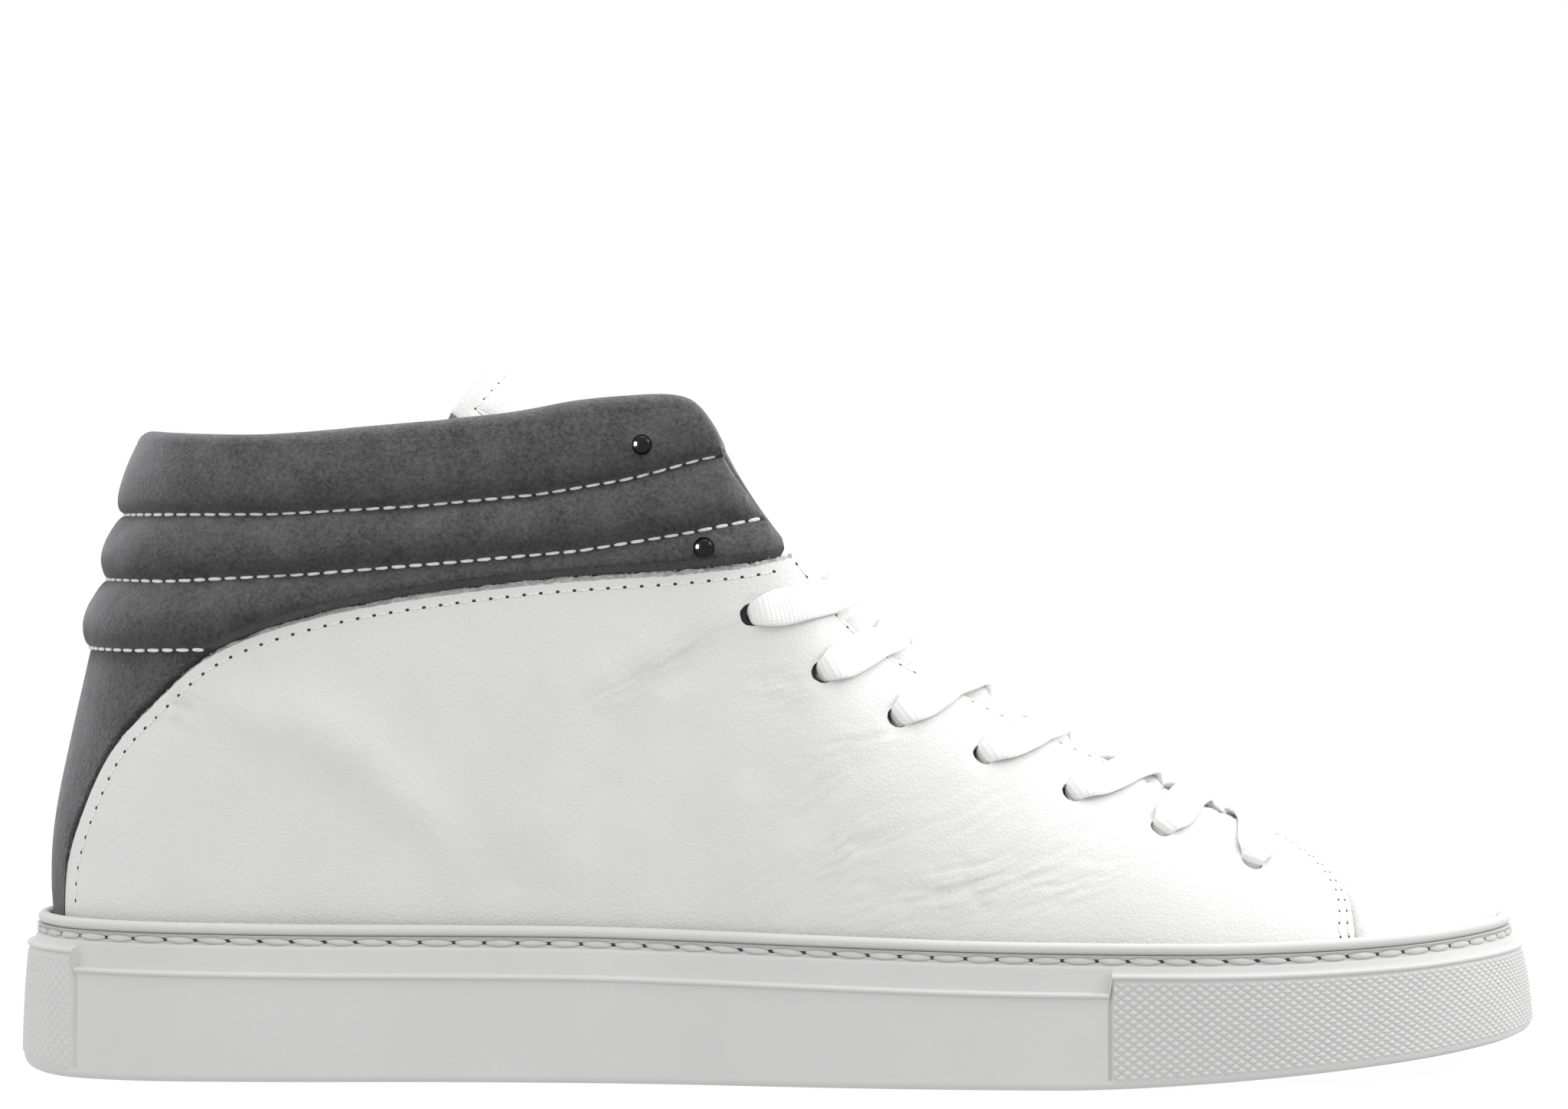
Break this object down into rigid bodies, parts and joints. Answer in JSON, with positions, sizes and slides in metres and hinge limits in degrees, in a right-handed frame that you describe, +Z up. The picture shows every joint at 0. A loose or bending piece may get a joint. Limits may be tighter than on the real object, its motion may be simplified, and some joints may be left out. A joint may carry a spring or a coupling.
{
  "type": "high-top basketball shoe",
  "caption": "Right-foot leather high-top sneaker with a quilted padded collar, flat laces in punched eyelets, metal lace studs and a stitched rubber cupsole.",
  "frame": {"origin": "centre of the shoe's bounding box in plan, on the ground", "axes": "+X from heel to toe, +Z up, -Y towards the outer (lateral) side of the foot"},
  "size_m": [0.302, 0.108, 0.1418],
  "materials": {
    "white_leather": "smooth full-grain leather, semi-matte",
    "grey_nubuck": "matte buffed nubuck, dark grey",
    "lining_leather": "matte off-white lining leather",
    "sole_rubber": "matte white moulded rubber",
    "foam": "open-cell padding foam, matte",
    "fibreboard": "matte fibreboard",
    "thermoplastic": "stiffener sheet, matte",
    "white_cotton": "flat woven lace, matte",
    "white_thread": "waxed thread",
    "dark_chrome": "polished",
    "clear_plastic": "gloss"
  },
  "bodies": {
    "shoe": {"collar_foam": "foam", "collar_panel": "grey_nubuck", "cupsole": "sole_rubber", "eyestay_lateral": "thermoplastic", "eyestay_medial": "thermoplastic", "foam_filler": "foam", "heel_counter": "thermoplastic", "lace_stud_lateral_lower": "dark_chrome", "lace_stud_lateral_upper": "dark_chrome", "lace_stud_medial_lower": "dark_chrome", "lace_stud_medial_upper": "dark_chrome", "lace_tip_lateral": "clear_plastic", "lace_tip_medial": "clear_plastic", "lasting_board": "fibreboard", "quarter_lateral": "white_leather", "quarter_lining": "lining_leather", "quarter_medial": "white_leather", "shoelace": "white_cotton", "sockliner_cover": "lining_leather", "sockliner_foam": "foam", "sole_stitch": "white_thread", "stud_washer_lateral_lower": "dark_chrome", "stud_washer_lateral_upper": "dark_chrome", "stud_washer_medial_lower": "dark_chrome", "stud_washer_medial_upper": "dark_chrome", "toe_puff": "thermoplastic", "tongue_foam_base": "foam", "tongue_leather_base": "white_leather", "tongue_lining_base": "lining_leather", "vamp": "white_leather", "vamp_lining": "lining_leather"},
    "tongue_flap": {"tongue_leather_flap": "white_leather", "tongue_foam_flap": "foam", "tongue_lining_flap": "lining_leather"}
  },
  "joints": [
    {"name": "tongue_fold", "type": "hinge", "parent": "shoe", "child": "tongue_flap", "pos_m": [0.0014, 0, 0.1019], "axis": [0, 1, 0], "range_deg": [-6, 60], "stiffness_Nm_per_rad": 0.15}
  ]
}
